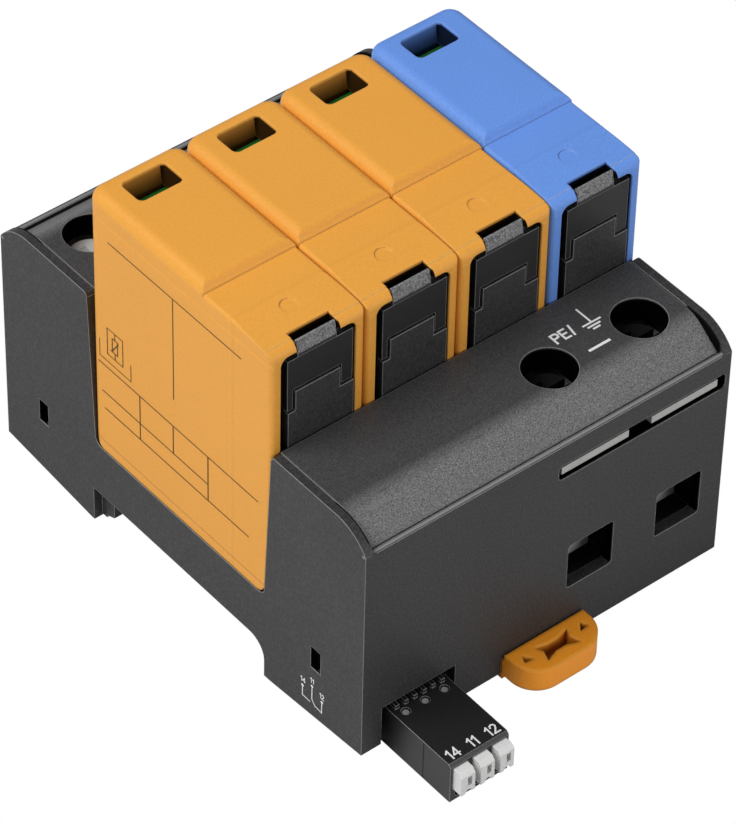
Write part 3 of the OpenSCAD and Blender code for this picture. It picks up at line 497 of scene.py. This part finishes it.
words("mark_pe", "PE/", 1.9, (15.35, -29.25), 0.38, *ON_COVER)
strokes("mark_earth", [[(20.6, -26.3), (20.6, -29.6)], [(18.95, -29.75), (22.25, -29.75)],
                       [(19.4, -30.45), (21.6, -30.45)], [(19.95, -31.1), (21.05, -31.1)]], 0.36, *ON_COVER)
strokes("mark_dash", [[(16.3, -34.4), (20.1, -34.4)]], 0.5, *ON_COVER)
for i, n in enumerate(("14", "11", "12")):
    words("plug_figure_%s" % n, n, 1.75, (-28.6 + 3.81 * i, -57.6), 0.28, *ON_PLUG)
strokes("mark_contact", [[(30.8, 5.4), (30.8, 3.7), (32.6, 3.7)], [(33.1, 6.9), (33.1, 4.6), (33.9, 3.6)],
                         [(35.5, 5.4), (35.5, 3.5), (33.9, 3.7)]], 0.22, *ON_SIDE)
discs("mark_contact_dots", [(30.8, 5.8), (33.1, 7.4), (35.5, 5.8)], 0.3, *ON_SIDE)
for n, a, b in (("14", 30.9, 7.15), ("11", 33.1, 8.65), ("12", 35.5, 7.1)):
    words("mark_contact_%s" % n, n, 0.95, (a, b), 0.17, *ON_SIDE)
strokes("label_rules", [[(-17.0, 62.5), (15.3, 62.5)], [(-1.1, 62.5), (-1.1, 42.0)],
                        [(-20.0, 36.2), (19.4, 36.2)], [(-19.2, 30.4), (7.3, 30.4)],
                        [(-18.6, 27.0), (17.2, 27.0)], [(-9.65, 36.2), (-9.65, 27.0)],
                        [(-1.3, 36.2), (-1.3, 30.4)], [(7.3, 36.2), (7.3, 27.0)]], 0.2, *ON_LABEL)
strokes("label_symbol", [[(-19.7, 41.0), (-19.7, 37.6), (-11.8, 37.6), (-11.8, 41.0)],
                         [(-17.7, 44.6), (-13.8, 44.6), (-13.8, 39.2), (-17.7, 39.2), (-17.7, 44.6)],
                         [(-15.75, 44.6), (-15.75, 43.3)], [(-15.75, 39.2), (-15.75, 40.5)],
                         [(-16.4, 43.3), (-15.1, 43.3), (-15.1, 40.5), (-16.4, 40.5), (-16.4, 43.3)],
                         [(-16.9, 40.6), (-16.5, 40.6), (-14.9, 43.1)]], 0.16, *ON_LABEL)

# A red field on the shelf under each flag, which the flag covers at rest
SHELF_Y, SHELF_Z = 15.4, 64.64
FIELD = [(-4.3, -3.4), (4.3, -3.4), (4.3, 3.4), (-4.3, 3.4)]
for k in range(PLACES):
    middle = (WINDOW_MID + PLACE_W * (k + 0.5) - BASE_X, SHELF_Y, SHELF_Z)
    add_mesh("flag_field_%d" % (k + 1), on_plane(FIELD, middle, TOP), [[0, 1, 2, 3]], RED, "module_%d" % (k + 1))

WORLD_LIGHT, FLOOR_GREY, FLOOR_HALF = 0.25, 0.72, 4
AIM = (0.0, 0.0, 0.03)
# Name, place in m, size in m and power in W of each lamp
LAMPS = (("key", (-0.78, 0.2, 1.05), 0.8, 14.5), ("fill", (0.35, -1.35, 0.6), 0.8, 7.0))


def white_to_camera(tree, seen, soft, out):
    """Nodes that show plain white to the camera and give the light something softer, which is returned."""
    tree.nodes.clear()
    kinds = ("LightPath", seen, soft, "MixShader", out)
    path, seen, soft, mix, out = (tree.nodes.new("ShaderNode" + kind) for kind in kinds)
    seen.inputs["Color"].default_value = (1, 1, 1, 1)
    for i, sock in enumerate((path.outputs["Is Camera Ray"], soft.outputs[0], seen.outputs[0])):
        tree.links.new(sock, mix.inputs[i])
    tree.links.new(mix.outputs[0], out.inputs[0])
    return soft


def studio():
    """White ground and walls for the camera, a pale floor and soft lamps for the light."""
    w = bpy.data.worlds.new("studio")
    bpy.context.scene.world = w
    w.use_nodes = True
    soft = white_to_camera(w.node_tree, "Background", "Background", "OutputWorld")
    soft.inputs["Color"].default_value = (1, 1, 1, 1)
    soft.inputs["Strength"].default_value = WORLD_LIGHT
    g = bpy.data.materials.new("studio_floor")
    g.use_nodes = True
    soft = white_to_camera(g.node_tree, "Emission", "BsdfDiffuse", "OutputMaterial")
    soft.inputs["Color"].default_value = (FLOOR_GREY, FLOOR_GREY, FLOOR_GREY, 1)
    mesh = bpy.data.meshes.new("floor")
    h = FLOOR_HALF
    mesh.from_pydata([(-h, -h, 0), (h, -h, 0), (h, h, 0), (-h, h, 0)], [], [(0, 1, 2, 3)])
    mesh.materials.append(g)
    floor = bpy.data.objects.new("floor", mesh)
    bpy.context.scene.collection.objects.link(floor)
    for name, loc, size, power in LAMPS:
        lamp = bpy.data.lights.new(name, "AREA")
        lamp.size = size
        lamp.energy = power
        o = bpy.data.objects.new(name, lamp)
        o.location = loc
        d = np.array(AIM) - np.array(loc)
        tilt, turn = math.acos(-d[2] / np.linalg.norm(d)), math.atan2(d[1], d[0]) - math.pi / 2
        o.rotation_euler = (tilt, 0.0, turn)
        bpy.context.scene.collection.objects.link(o)


# The camera: angles in degrees, focal length in pixels, offset and aim in mm, height of the photo in pixels
CAMERA_ANGLES = (-40.144, 43.788, 1.402)
CAMERA_F, CAMERA_OFF, CAMERA_AIM = 5132.3, (-1.088, 7.923, -800.0), (0.0, 0.0, 30.0)
PHOTO_H, SENSOR = 823.0, 36.0


def camera():
    """A long lens set by turn, height angle, roll, distance and a small offset of the aim."""
    (ca, sa), (ce, se), (cr, sr) = ((math.cos(v), math.sin(v)) for v in map(math.radians, CAMERA_ANGLES))
    turn = np.array([[ca, sa, 0], [-sa * se, ca * se, ce], [sa * ce, -ca * ce, se]])
    rot = np.array([[cr, sr, 0], [-sr, cr, 0], [0, 0, 1]]) @ turn
    cam = bpy.data.cameras.new("camera")
    cam.sensor_width = SENSOR
    cam.lens = CAMERA_F * SENSOR / PHOTO_H
    cam.clip_start = 0.01
    o = bpy.data.objects.new("camera", cam)
    m = np.eye(4)
    m[:3, :3] = rot.T
    m[:3, 3] = (np.array(CAMERA_AIM) - rot.T @ np.array(CAMERA_OFF)) * MM
    o.matrix_world = Matrix(m.tolist())
    bpy.context.scene.collection.objects.link(o)
    bpy.context.scene.camera = o


studio()
camera()
bpy.context.scene.view_settings.view_transform = "Standard"
